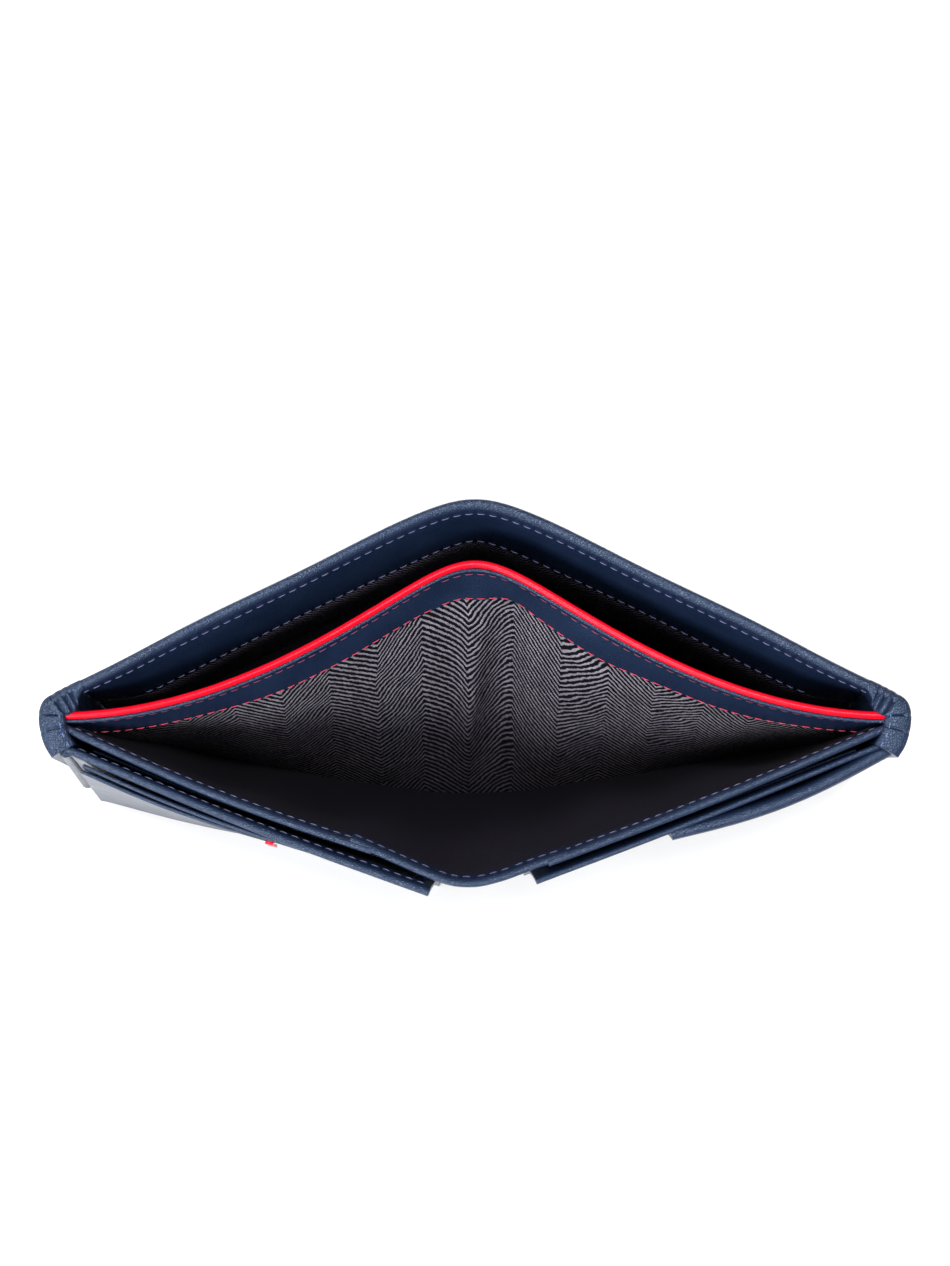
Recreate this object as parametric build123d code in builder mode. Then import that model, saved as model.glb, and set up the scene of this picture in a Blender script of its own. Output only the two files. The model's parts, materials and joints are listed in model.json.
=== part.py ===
"""Trifold wallet standing on its bottom edge, unfolded, with its bill mouth pushed open.

Plan: the cover is a spine strip with a leaf on each side, turned towards the front. A front
panel is hinged to each leaf's side edge, and a third panel, the flap, is hinged in front of
the left one. A divider hangs between the cover and the front panels.
Frame: +Z up, +Y towards the spine, origin under the middle of the outer box. Millimetres.
"""
from build123d import *
import os
from math import cos, radians, sin

os.makedirs("parts", exist_ok=True)

# Overall
height = 92.0
gap = 0.1

# Cover
leather = 1.5
spine_half = 15.5
spine_inner_y = 46.7
spine_bulge = 1.2
leaf_length = 102.8
leaf_angle = 28.0
leaf_clearance = 0.3
lining = 0.6
facing_band_depth = 20.0
facing_band = 0.9
layer_start = 2.5
layer_end = 98.0

# Side strips
strip_start = 101.2
strip_width = 7.5
strip_inset = 0.1

# Front panels
side_hinge_along = 100.0
side_hinge_inward = 9.0
front_angle = 22.0
front_left_length = 80.0
front_right_length = 87.0
panel = 1.2
panel_bottom = 0.0
panel_start = 0.6
edge_radius = 0.9
edge_drop = 1.0

# Card slots
slot_thickness = 0.7
slot_start = 6.0
slot_margin = 5.0
slot_tops = (82.0, 68.0)
thumb_notch_radius = 9.0
slot_bottom = 3.0

# Pocket and leaf on the right
right_pocket_length = 84.0
right_pocket_top = 89.0
right_leaf_length = 57.0
right_leaf_top = 86.0
right_leaf = 1.3
corner_radius = 6.0

# Flap
flap_offset = 3.7
flap_length = 96.0
flap_top = 90.0
flap_sheet = 1.1
window_layer = 0.4
window_margin = 9.0
card_pocket_length = 65.0
card_pocket_top = 86.0
coin_pocket_length = 53.0
coin_pocket_top = 80.0
pocket_wall = 0.7
trim_width = 1.6

# Divider and bags, soft
divider_apex_y = 33.0
divider_end_y = -4.6
divider_end_x = 96.0
crevice_y = -21.0
crevice_end_x = 86.0
crevice_end_y = -7.6
divider_top = 88.0
divider_bottom = 2.0
band_depth = 9.0
sheet = 0.6
piping_radius = 0.95
soft_gap = 0.5
bag_clearance = 1.7
bag_top = 86.0
bag_hinge_start = 7.0
strip_front_y = -43.5
strip_edge_top = 89.5
strip_soft = 1.2

LEFT = -1
RIGHT = 1
sides = {"left": LEFT, "right": RIGHT}


def cover_point(side, along, inward):
    """A plan point on a cover leaf: along it from its fold, and inward from its inner face."""
    x = spine_half + along * cos(radians(leaf_angle)) - inward * sin(radians(leaf_angle))
    y = spine_inner_y - along * sin(radians(leaf_angle)) - inward * cos(radians(leaf_angle))
    return (side * x, y)


def front_point(side, along, outward):
    """A plan point on a front panel: along it from its side hinge, outward from its inner face."""
    hinge_x, hinge_y = cover_point(RIGHT, side_hinge_along, side_hinge_inward)
    x = hinge_x - along * cos(radians(front_angle)) + outward * sin(radians(front_angle))
    y = hinge_y - along * sin(radians(front_angle)) - outward * cos(radians(front_angle))
    return (side * x, y)


def flap_point(side, along, outward):
    """A plan point on the flap, which lies in front of the left front panel."""
    return front_point(side, along, flap_offset + outward)


def save(piece, name):
    """Label a finished piece and write it."""
    piece.part.label = name
    export_step(piece.part, f"parts/{name}.step")


def slab(name, place, side, along, across, rise, top_fillet=0.0):
    """An upright flat layer, given by its ranges along, across and up its panel."""
    corners = [
        place(side, along[0], across[0]),
        place(side, along[1], across[0]),
        place(side, along[1], across[1]),
        place(side, along[0], across[1]),
    ]
    with BuildPart() as piece:
        with BuildSketch(Plane.XY.offset(rise[0])):
            with BuildLine():
                Polyline(*corners, close=True)
            make_face()
        extrude(amount=rise[1] - rise[0])
        if top_fillet:
            long_edges = piece.faces().sort_by(Axis.Z)[-1].edges().sort_by(SortBy.LENGTH)[-2:]
            fillet(long_edges, radius=top_fillet)
    save(piece, name)


def face_plane(place, side, along, across):
    """The upright plane of a layer, with X along its panel away from the hinge and Y up."""
    start = place(side, along, across)
    beyond = place(side, along + 1, across)
    return Plane(
        origin=(start[0], start[1], 0),
        x_dir=(beyond[0] - start[0], beyond[1] - start[1], 0),
        z_dir=Vector(beyond[0] - start[0], beyond[1] - start[1], 0).cross(Vector(0, 0, 1)),
    )


def outward_sign(side):
    """Whether a layer's outward side is along (1) or against (-1) its face plane's normal."""
    return 1 if side == LEFT else -1


def pocket_layer(name, place, side, along, across, rise, notch=0.0, corner=0.0):
    """A pocket's front layer, with a thumb notch in its top edge or a rounded free corner."""
    with BuildPart() as piece:
        with BuildSketch(face_plane(place, side, 0, across[0])):
            with Locations(((along[0] + along[1]) / 2, (rise[0] + rise[1]) / 2)):
                Rectangle(along[1] - along[0], rise[1] - rise[0])
            if corner:
                free_end = vertices().sort_by(place_axis(place, side))[-2:]
                fillet(free_end, radius=corner)
            if notch:
                with Locations(((along[0] + along[1]) / 2, rise[1])):
                    Circle(notch, mode=Mode.SUBTRACT)
        extrude(amount=outward_sign(side) * (across[1] - across[0]))
    save(piece, name)


def place_axis(place, side):
    """The axis that runs along a panel away from its hinge."""
    start = place(side, 0, 0)
    beyond = place(side, 1, 0)
    return Axis((start[0], start[1], 0), (beyond[0] - start[0], beyond[1] - start[1], 0))


def edge_roll(name, place, side, along, across, level, radius):
    """A round rolled edge along the top of a panel."""
    start = place(side, along[0], across)
    end = place(side, along[1], across)
    path_line = Line((start[0], start[1], level), (end[0], end[1], level))
    with BuildPart() as piece:
        with BuildSketch(Plane(origin=path_line @ 0, z_dir=path_line % 0)):
            Circle(radius)
        extrude(amount=path_line.length)
    save(piece, name)


def soft_sheet(name, top, bottom, rise, thickness):
    """A slanting sheet lofted between a bottom line and a top line, both level."""
    with BuildPart() as piece:
        for (start, end), level in ((bottom, rise[0]), (top, rise[1])):
            with BuildSketch(Plane.XY.offset(level)):
                with BuildLine():
                    Polyline(
                        start,
                        end,
                        (end[0], end[1] + thickness),
                        (start[0], start[1] + thickness),
                        close=True,
                    )
                make_face()
        loft(ruled=True)
    save(piece, name)


def between(first, second, share):
    """The plan point that lies a share of the way from one point to another."""
    return (
        first[0] + (second[0] - first[0]) * share,
        first[1] + (second[1] - first[1]) * share,
    )


def spine_layer(name, inner, outer, half, rise):
    """An upright strip of the spine, bowed outward, between two depths from the leaf folds."""
    with BuildPart() as piece:
        with BuildSketch(Plane.XY.offset(rise[0])):
            with BuildLine():
                ThreePointArc(
                    (-half, spine_inner_y + inner),
                    (0, spine_inner_y + inner + spine_bulge),
                    (half, spine_inner_y + inner),
                )
                ThreePointArc(
                    (-half, spine_inner_y + outer),
                    (0, spine_inner_y + outer + spine_bulge),
                    (half, spine_inner_y + outer),
                )
                Line((-half, spine_inner_y + inner), (-half, spine_inner_y + outer))
                Line((half, spine_inner_y + inner), (half, spine_inner_y + outer))
            make_face()
        extrude(amount=rise[1] - rise[0])
    save(piece, name)


# Spine: leather, lining and facing band
band_level = height - facing_band_depth
spine_layer("spine_leather", 0, leather, spine_half - leaf_clearance, (0, height))
spine_layer("spine_lining", -gap - lining, -gap, spine_half - layer_start, (gap, band_level - gap))
spine_layer(
    "spine_facing_band", -gap - facing_band, -gap, spine_half - layer_start, (band_level, height - edge_drop)
)

# Cover leaves: leather, lining, facing band and wrapped side strip
for label, side in sides.items():
    layer_span = (layer_start, layer_end)
    slab(
        f"{label}_cover_leather", cover_point, side, (leaf_clearance, leaf_length), (-leather, 0),
        (0, height), top_fillet=leather * 0.45,
    )
    slab(
        f"{label}_cover_lining", cover_point, side, layer_span, (gap, gap + lining),
        (gap, band_level - gap),
    )
    slab(
        f"{label}_facing_band", cover_point, side, layer_span, (gap, gap + facing_band),
        (band_level, height - edge_drop),
    )
    slab(
        f"{label}_side_strip", cover_point, side, (strip_start, leaf_length),
        (strip_inset, strip_width), (0, height),
    )

# Front panels: board-backed leather, lining, rolled edge and card slots
front_lengths = {"left": front_left_length, "right": front_right_length}
for label, side in sides.items():
    length = front_lengths[label]
    roll_level = height - edge_drop - edge_radius
    panel_top = roll_level - edge_radius - gap
    slab(
        f"front_{label}_panel", front_point, side, (panel_start, length), (0, panel),
        (panel_bottom, panel_top),
    )
    slab(
        f"front_{label}_lining", front_point, side, (layer_start, length), (-gap - lining, -gap),
        (gap, panel_top),
    )
    edge_roll(
        f"front_{label}_rolled_edge", front_point, side, (layer_start, length), panel / 2,
        roll_level, edge_radius,
    )
    for number, slot_top in enumerate(slot_tops, start=1):
        depth = panel + gap + (number - 1) * (slot_thickness + gap)
        pocket_layer(
            f"{label}_card_slot_{number}", front_point, side,
            (slot_start, front_left_length - slot_margin), (depth, depth + slot_thickness),
            (slot_bottom, slot_top), notch=thumb_notch_radius,
        )

# Right side: slip pocket and the thicker short leaf in front of the card slots
slots_depth = panel + gap + len(slot_tops) * (slot_thickness + gap)
pocket_layer(
    "right_slip_pocket", front_point, RIGHT, (layer_start, right_pocket_length),
    (slots_depth, slots_depth + slot_thickness), (slot_bottom, right_pocket_top), corner=corner_radius,
)
leaf_depth = slots_depth + slot_thickness + gap
pocket_layer(
    "right_short_leaf", front_point, RIGHT, (layer_start, right_leaf_length),
    (leaf_depth, leaf_depth + right_leaf), (slot_bottom, right_leaf_top), corner=corner_radius,
)

# Flap: window frame and mesh behind, panel, rolled edge, two stacked pockets and a red trim
flap_roll_level = flap_top - edge_radius
flap_panel_top = flap_roll_level - edge_radius - gap
panel_depth = window_layer + gap
window_span = (layer_start + window_margin, flap_length - window_margin)
window_rise = (slot_bottom + window_margin, flap_panel_top - window_margin)
with BuildPart() as flap_window_frame:
    with BuildSketch(face_plane(flap_point, LEFT, 0, 0)):
        with Locations(((layer_start + flap_length) / 2, (slot_bottom + flap_panel_top) / 2)):
            Rectangle(flap_length - layer_start, flap_panel_top - slot_bottom)
            Rectangle(
                window_span[1] - window_span[0], window_rise[1] - window_rise[0], mode=Mode.SUBTRACT
            )
    extrude(amount=window_layer)
save(flap_window_frame, "flap_window_frame")
slab(
    "flap_window_mesh", flap_point, LEFT, (window_span[0] + gap, window_span[1] - gap),
    (gap, window_layer), (window_rise[0] + gap, window_rise[1] - gap),
)
slab(
    "flap_panel", flap_point, LEFT, (panel_start, flap_length), (panel_depth, panel_depth + flap_sheet),
    (0, flap_panel_top),
)
edge_roll(
    "flap_rolled_edge", flap_point, LEFT, (layer_start, flap_length), panel_depth + flap_sheet / 2,
    flap_roll_level, edge_radius,
)
card_depth = panel_depth + flap_sheet + gap
pocket_layer(
    "flap_card_pocket", flap_point, LEFT, (layer_start, card_pocket_length),
    (card_depth, card_depth + pocket_wall), (slot_bottom, card_pocket_top), corner=corner_radius,
)
coin_depth = card_depth + pocket_wall + gap
pocket_layer(
    "flap_coin_pocket", flap_point, LEFT, (layer_start, coin_pocket_length),
    (coin_depth, coin_depth + pocket_wall), (slot_bottom, coin_pocket_top), notch=thumb_notch_radius,
)
slab(
    "coin_pocket_trim", flap_point, LEFT,
    (coin_pocket_length + gap, coin_pocket_length + gap + trim_width),
    (coin_depth, coin_depth + pocket_wall), (slot_bottom, coin_pocket_top),
)

# Divider: fabric, leather band above it, backing behind it and red piping on top
band_share = (divider_top - band_depth - divider_bottom) / (divider_top - divider_bottom)
fold_share = spine_half / divider_end_x
apex_top = (0, divider_apex_y)
apex_bottom = (0, crevice_y)
for label, side in sides.items():
    end_top = (side * divider_end_x, divider_end_y)
    end_bottom = (side * crevice_end_x, crevice_end_y)
    inner_top = between(apex_top, end_top, fold_share)
    inner_bottom = between(apex_bottom, end_bottom, fold_share)
    end_band = between(end_bottom, end_top, band_share)
    inner_band = between(inner_bottom, inner_top, band_share)
    band_bottom_level = divider_top - band_depth
    fabric_rise = (divider_bottom, band_bottom_level)
    soft_sheet(
        f"divider_fabric_{label}", (inner_band, end_band), (inner_bottom, end_bottom), fabric_rise, sheet
    )
    soft_sheet(
        f"divider_band_{label}", (inner_top, end_top), (inner_band, end_band),
        (band_bottom_level + gap, divider_top), sheet,
    )
    piping_start = (inner_top[0], inner_top[1], divider_top + piping_radius + gap)
    piping_end = (end_top[0], end_top[1], divider_top + piping_radius + gap)
    piping_line = Line(piping_start, piping_end)
    with BuildPart() as red_piping:
        with BuildSketch(Plane(origin=piping_line @ 0, z_dir=piping_line % 0)):
            Circle(piping_radius)
        extrude(amount=piping_line.length)
    save(red_piping, f"red_piping_{label}")

left_inner_top = between(apex_top, (-divider_end_x, divider_end_y), fold_share)
left_inner_bottom = between(apex_bottom, (-crevice_end_x, crevice_end_y), fold_share)
left_inner_band = between(left_inner_bottom, left_inner_top, band_share)
centre_band = between(apex_bottom, apex_top, band_share)


def centre_sheet(name, side_low, apex_low, side_high, apex_high, rise):
    """The middle of a divider layer: two faces that meet in a crest on the centre line."""
    with BuildPart() as piece:
        for corner, apex, level in ((side_low, apex_low, rise[0]), (side_high, apex_high, rise[1])):
            inset = abs(corner[0]) - soft_gap
            with BuildSketch(Plane.XY.offset(level)):
                with BuildLine():
                    Polyline(
                        (-inset, corner[1]),
                        (0, apex[1]),
                        (inset, corner[1]),
                        (inset, corner[1] + sheet),
                        (0, apex[1] + sheet),
                        (-inset, corner[1] + sheet),
                        close=True,
                    )
                make_face()
        loft(ruled=True)
    save(piece, name)


centre_sheet(
    "divider_fabric_centre", left_inner_bottom, apex_bottom, left_inner_band, centre_band,
    (divider_bottom, band_bottom_level),
)
centre_sheet(
    "divider_band_centre", left_inner_band, centre_band, left_inner_top, apex_top,
    (band_bottom_level + gap, divider_top),
)
piping_level = divider_top + piping_radius + gap
with BuildPart() as red_piping_centre:
    with BuildLine() as crest:
        FilletPolyline(
            (left_inner_top[0] + soft_gap, left_inner_top[1], piping_level),
            (0, divider_apex_y, piping_level),
            (-left_inner_top[0] - soft_gap, left_inner_top[1], piping_level),
            radius=spine_half,
        )
    with BuildSketch(Plane(origin=crest.line @ 0, z_dir=crest.line % 0)):
        Circle(piping_radius)
    sweep()
save(red_piping_centre, "red_piping_centre")

# Front bag: a black lining that slants from behind the front wall down to the crevice
bag_bottoms = {}
bag_tops = {}
for label, side in sides.items():
    far_top = front_point(side, bag_hinge_start, -bag_clearance)
    near_top = front_point(side, front_left_length, -bag_clearance)
    near_share = abs(near_top[0]) / crevice_end_x
    crease_end = (side * crevice_end_x, crevice_end_y)
    near_bottom = between(apex_bottom, crease_end, near_share)
    bag_bottoms[label] = (near_bottom[0], near_bottom[1] - bag_clearance)
    bag_tops[label] = near_top
    soft_sheet(
        f"front_bag_lining_{label}", (near_top, far_top),
        (bag_bottoms[label], (crease_end[0], crease_end[1] - bag_clearance)),
        (divider_bottom, bag_top), sheet,
    )
with BuildPart() as front_bag_centre:
    for corner, apex_y, level in (
        (bag_bottoms["right"], crevice_y - bag_clearance, divider_bottom),
        (bag_tops["right"], strip_front_y + bag_clearance + strip_soft, bag_top),
    ):
        inset = corner[0] - soft_gap
        with BuildSketch(Plane.XY.offset(level)):
            with BuildLine():
                Polyline(
                    (-inset, corner[1]),
                    (0, apex_y),
                    (inset, corner[1]),
                    (inset, corner[1] + sheet),
                    (0, apex_y + sheet),
                    (-inset, corner[1] + sheet),
                    close=True,
                )
            make_face()
    loft(ruled=True)
save(front_bag_centre, "front_bag_lining_centre")

# Front centre strip: the soft middle of the front wall, a lining and a rolled edge
strip_left = front_point(LEFT, front_left_length + soft_gap, 0)
strip_right = front_point(RIGHT, front_right_length + soft_gap, 0)
with BuildPart() as front_strip:
    with BuildSketch(Plane.XY.offset(gap)):
        with BuildLine():
            inner_curve = Spline(strip_left, (strip_left[0] / 2, strip_front_y), strip_right)
            Line(inner_curve @ 1, (strip_right[0], strip_right[1] - strip_soft))
            outer_curve = Spline(
                (strip_right[0], strip_right[1] - strip_soft),
                (strip_left[0] / 2, strip_front_y - strip_soft),
                (strip_left[0], strip_left[1] - strip_soft),
            )
            Line(outer_curve @ 1, strip_left)
        make_face()
    extrude(amount=strip_edge_top - gap)
save(front_strip, "front_centre_strip")
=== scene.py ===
"""Trifold wallet: the leather, cloth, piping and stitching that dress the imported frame.

Plan: the cover is a rounded V with its point at the back (+Y). A divider with red piping hangs
inside it, the front wall closes the mouth, and a third panel, the flap, lies in front of the
left half. Sizes are in millimetres and become metres where a mesh is made.
"""
import json
from math import atan2, cos, pi, radians, sin

import bmesh
import bpy
import numpy as np
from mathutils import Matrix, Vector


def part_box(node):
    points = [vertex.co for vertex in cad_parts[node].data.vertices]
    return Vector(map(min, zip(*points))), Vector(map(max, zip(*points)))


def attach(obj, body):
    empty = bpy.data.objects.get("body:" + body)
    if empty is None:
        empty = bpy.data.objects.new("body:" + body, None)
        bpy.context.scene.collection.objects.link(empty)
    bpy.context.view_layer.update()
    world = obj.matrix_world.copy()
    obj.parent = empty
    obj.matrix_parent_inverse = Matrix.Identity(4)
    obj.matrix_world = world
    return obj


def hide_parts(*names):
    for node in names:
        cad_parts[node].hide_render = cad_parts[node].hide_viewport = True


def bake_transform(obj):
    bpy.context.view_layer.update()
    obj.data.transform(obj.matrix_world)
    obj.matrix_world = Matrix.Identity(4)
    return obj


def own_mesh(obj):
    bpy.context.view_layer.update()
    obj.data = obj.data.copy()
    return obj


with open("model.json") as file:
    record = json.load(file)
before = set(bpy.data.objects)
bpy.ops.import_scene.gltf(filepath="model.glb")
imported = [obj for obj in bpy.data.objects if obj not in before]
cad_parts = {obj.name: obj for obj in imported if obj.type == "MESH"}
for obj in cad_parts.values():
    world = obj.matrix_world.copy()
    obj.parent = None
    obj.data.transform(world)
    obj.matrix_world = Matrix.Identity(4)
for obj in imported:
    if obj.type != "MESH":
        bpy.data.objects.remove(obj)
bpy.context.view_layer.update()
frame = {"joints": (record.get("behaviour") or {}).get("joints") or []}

MM = 0.001
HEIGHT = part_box("left_cover_leather")[1].z / MM
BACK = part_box("spine_leather")[1].y / MM
joints = {joint["name"]: joint for joint in frame["joints"]}


def joint_point(name):
    """A hinge's plan point in millimetres."""
    place = joints[name]["pos_m"]
    return np.array([place[0], place[1]]) / MM


SIDE_HINGE = joint_point("front_right_fold")
FLAP_HINGE = joint_point("flap_fold")
FRONT_ANGLE = radians(22.0)

# Cover
RIM = 1.35
COVER_WALL = 1.6
COVER_LEAN = 7.2
COVER_BELLY = 0.6
COVER_LEAN_DEPTH = 40.0
COVER_FADE_END = 117.0
COVER_FADE_LENGTH = 25.0
BAND_DEPTH = 26.0
COVER_SLOPE = 0.512
COVER_ROUNDING = 9.8
COVER_END = 100.5
CORNER = (
    (103.8, 0.8), (106.4, -1.2), (107.4, -4.2), (107.1, -8.0), (105.9, -12.0), (104.0, -15.2)
)
STRIP_START = 108.0
STRIP_WIDTH = 6.5
TUCK = {"left": (0.0, 0.0), "right": (-4.0, 6.0)}

# Divider
DIVIDER_TOP = 89.0
DIVIDER_APEX = 32.6
DIVIDER_END = (101.0, -5.0)
DIVIDER_ROUNDING = 12.0
DIVIDER_POWER = 1.9
CREVICE_APEX = -20.5
CREVICE_END = (90.0, -6.5)
CREVICE_ROUNDING = 20.0
CREVICE_LEVEL = 3.0
BAG_LEVEL = 1.2
DIVIDER_BAND = 10.8
DIVIDER_FLARE = 4.4
PIPING_RADIUS = 0.95
REAR_FLOOR_INSET = 4.8

# Front wall
FRONT_RIM = 1.05
FRONT_LEAN = 6.0
LEAN_DEPTH = 21.0
FACING = 6.5
FRONT_LENGTH = {"left": 80.0, "right": 88.0}
FRONT_BOW = {"left": 1.6, "right": 0.8}
FRONT_TOP = HEIGHT - 1.2
STRIP_TOP = HEIGHT - 1.4
BAG_DROP = 6.4
STRIP_LOW = -46.6
WING_START = 10.6
FLAP_SPLAY = (-5.0, -2.5)
ROW_COLUMNS = 161

# Thread
THREAD_RADIUS = 0.125
THREAD_SINK = 0.2


# ---------------------------------------------------------------- meshes

def grid_mesh(name, points, uv):
    """A mesh from a grid of points (rows by columns), in millimetres.

    Each four neighbours make a face. The last row joins the first and two caps fill the ends
    across the rows, which closes a profile that is carried along a path.
    """
    rows, columns = points.shape[:2]
    index = np.arange(rows * columns).reshape(rows, columns)
    below = np.roll(index, -1, axis=0)
    quads = np.stack([index[:, :-1], index[:, 1:], below[:, 1:], below[:, :-1]], axis=-1)
    faces = quads.reshape(-1, 4).tolist() + [index[:, 0].tolist(), index[::-1, -1].tolist()]
    mesh = bpy.data.meshes.new(name)
    mesh.from_pydata((points.reshape(-1, 3) * MM).tolist(), [], faces)
    layer = mesh.uv_layers.new(name="surface")
    corners = np.zeros(len(mesh.loops), np.int32)
    mesh.loops.foreach_get("vertex_index", corners)
    layer.data.foreach_set("uv", uv.reshape(-1, 2)[corners].astype(np.float32).ravel())
    return finish_mesh(name, mesh)


def finish_mesh(name, mesh):
    """Shade a closed mesh smooth, turn its faces outward and make its object."""
    mesh.polygons.foreach_set("use_smooth", np.ones(len(mesh.polygons), bool))
    shell = bmesh.new()
    shell.from_mesh(mesh)
    bmesh.ops.recalc_face_normals(shell, faces=shell.faces)
    shell.to_mesh(mesh)
    shell.free()
    mesh.set_sharp_from_angle(angle=radians(55))
    piece = bpy.data.objects.new(name, mesh)
    bpy.context.scene.collection.objects.link(piece)
    return piece


def ease(share):
    """A smooth step from 0 to 1, level at both ends."""
    return share**2 * (3 - 2 * share)


def at_level(plan, level):
    """Plan points as a 3-D line at one height."""
    return np.column_stack([plan, np.full(len(plan), level)])


def arc_length(line):
    """Distance along a line of points, from 0 at its first point."""
    steps = np.linalg.norm(np.diff(line, axis=0), axis=1)
    return np.concatenate([[0.0], np.cumsum(steps)])


def even(line, count):
    """The same line with evenly spaced points."""
    along = arc_length(line)
    wanted = np.linspace(0.0, along[-1], count)
    return np.stack([np.interp(wanted, along, line[:, k]) for k in range(line.shape[1])], axis=1)


def plan_normals(path, turn):
    """Unit normals of a plan path: its tangent turned a quarter, to the left for turn = 1."""
    tangent = np.gradient(path, axis=0, edge_order=2)
    tangent /= np.linalg.norm(tangent, axis=1, keepdims=True)
    return turn * np.stack([-tangent[:, 1], tangent[:, 0]], axis=1)


def carried(name, path, turn, profile, lean=None, ripple=None, swell=None, widen=None,
            splay=(0.0, 0.0), tuck=(0.0, 0.0)):
    """A closed profile of (offset, height) carried along a plan path.

    A point is path + normal x (offset x widen + lean at its depth) and its own height. ripple
    adds an offset from the distance along the path and the height. swell adds to the height.
    splay moves the bottom of the path's start in plan, fading to its end and to the top, and
    tuck moves the bottom of its end.
    """
    normals = plan_normals(path, turn)
    along = arc_length(path)
    offset = np.repeat(profile[:, :1], len(path), axis=1)
    height = np.repeat(profile[:, 1:], len(path), axis=1)
    if widen is not None:
        offset = offset * widen(along[None, :])
    if lean is not None:
        offset = offset + lean(along[None, :], height)
    if ripple is not None:
        offset = offset + ripple(along[None, :], height)
    plan = path[None] + normals[None] * offset[..., None]
    share = along[None, :] / along[-1]
    low = 1 - height / HEIGHT
    plan = plan + (low * (1 - share))[..., None] * np.array(splay)
    plan = plan + (low * share**14)[..., None] * np.array(tuck)
    if swell is not None:
        height = height + swell(along[None, :], height)
    points = np.concatenate([plan, height[..., None]], axis=-1)
    girth = arc_length(profile)
    uv = np.stack(np.broadcast_arrays(along[None, :], girth[:, None]), axis=-1)
    return grid_mesh(name, points, uv)


def wall_profile(thickness, rim, inner_turn, top, bottom=0.0):
    """A leather wall in section: outer face, round rim, inner turned edge, then the thin wall.

    The offset is 0 on the outer face and grows inward. inner_turn is how far down the turned
    edge reaches.
    """
    outer = [(0.0, z) for z in np.linspace(bottom, top - rim, 14)]
    bend = [
        (rim - rim * cos(a), top - rim + rim * sin(a)) for a in np.linspace(0, pi, 9)[1:-1]
    ]
    turned = [(2 * rim, z) for z in np.linspace(top - rim, top - inner_turn, 7)]
    back = [(thickness, z) for z in np.linspace(top - inner_turn - 0.5, bottom, 12)]
    return np.array(outer + bend + turned + back)


def strip_profile(near, far, low, high):
    """A flat layer in section, with softened long edges."""
    edge = 0.3
    front = [(near, z) for z in np.linspace(low + edge, high - edge, 10)]
    back = [(far, z) for z in np.linspace(high - edge, low + edge, 10)]
    middle = (near + far) / 2
    return np.array(front + [(middle, high)] + back + [(middle, low)])


def tube(name, line, radius, sides, wobble=0.0):
    """A round tube carried along a 3-D line, with closed ends."""
    tangent = np.gradient(line, axis=0, edge_order=2)
    tangent /= np.linalg.norm(tangent, axis=1, keepdims=True)
    across = np.cross(tangent, [0.0, 0.0, 1.0])
    across /= np.linalg.norm(across, axis=1, keepdims=True)
    up = np.cross(across, tangent)
    around = np.linspace(0, 2 * pi, sides, endpoint=False)[:, None, None]
    along = arc_length(line)
    size = radius * (1 + wobble * np.sin(along * 0.9) * np.sin(along * 0.23 + 1))
    ring = (np.cos(around) * across[None] + np.sin(around) * up[None]) * size[None, :, None]
    girth = np.linspace(0, 2 * pi * radius, sides, endpoint=False)
    uv = np.stack(np.broadcast_arrays(along[None, :], girth[:, None]), axis=-1)
    return grid_mesh(name, line[None] + ring, uv)


def sheet_normals(front, facing):
    """Unit normals of a grid surface, from its two directions, on the side that faces +Y or -Y."""
    across = np.gradient(front, axis=1)
    down = np.gradient(front, axis=0)
    normal = np.cross(across, down)
    normal /= np.linalg.norm(normal, axis=-1, keepdims=True)
    return normal * (facing * np.sign(np.mean(normal[..., 1])))


def cloth(name, front, thickness, facing=-1):
    """A closed sheet: the front grid, and the same grid moved back by the thickness.

    Its two faces and four edges form one loop of rows, closed by caps at the sides.
    """
    back = front - sheet_normals(front, facing) * thickness
    points = np.concatenate([front, back[::-1]], axis=0)
    along = np.stack([arc_length(row) for row in front])
    down = np.stack([arc_length(column) for column in front.transpose(1, 0, 2)], axis=1)
    uv_front = np.stack([np.repeat(along[:1], len(front), axis=0), down], axis=-1)
    uv = np.concatenate([uv_front, uv_front[::-1]], axis=0)
    return grid_mesh(name, points, uv)


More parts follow.
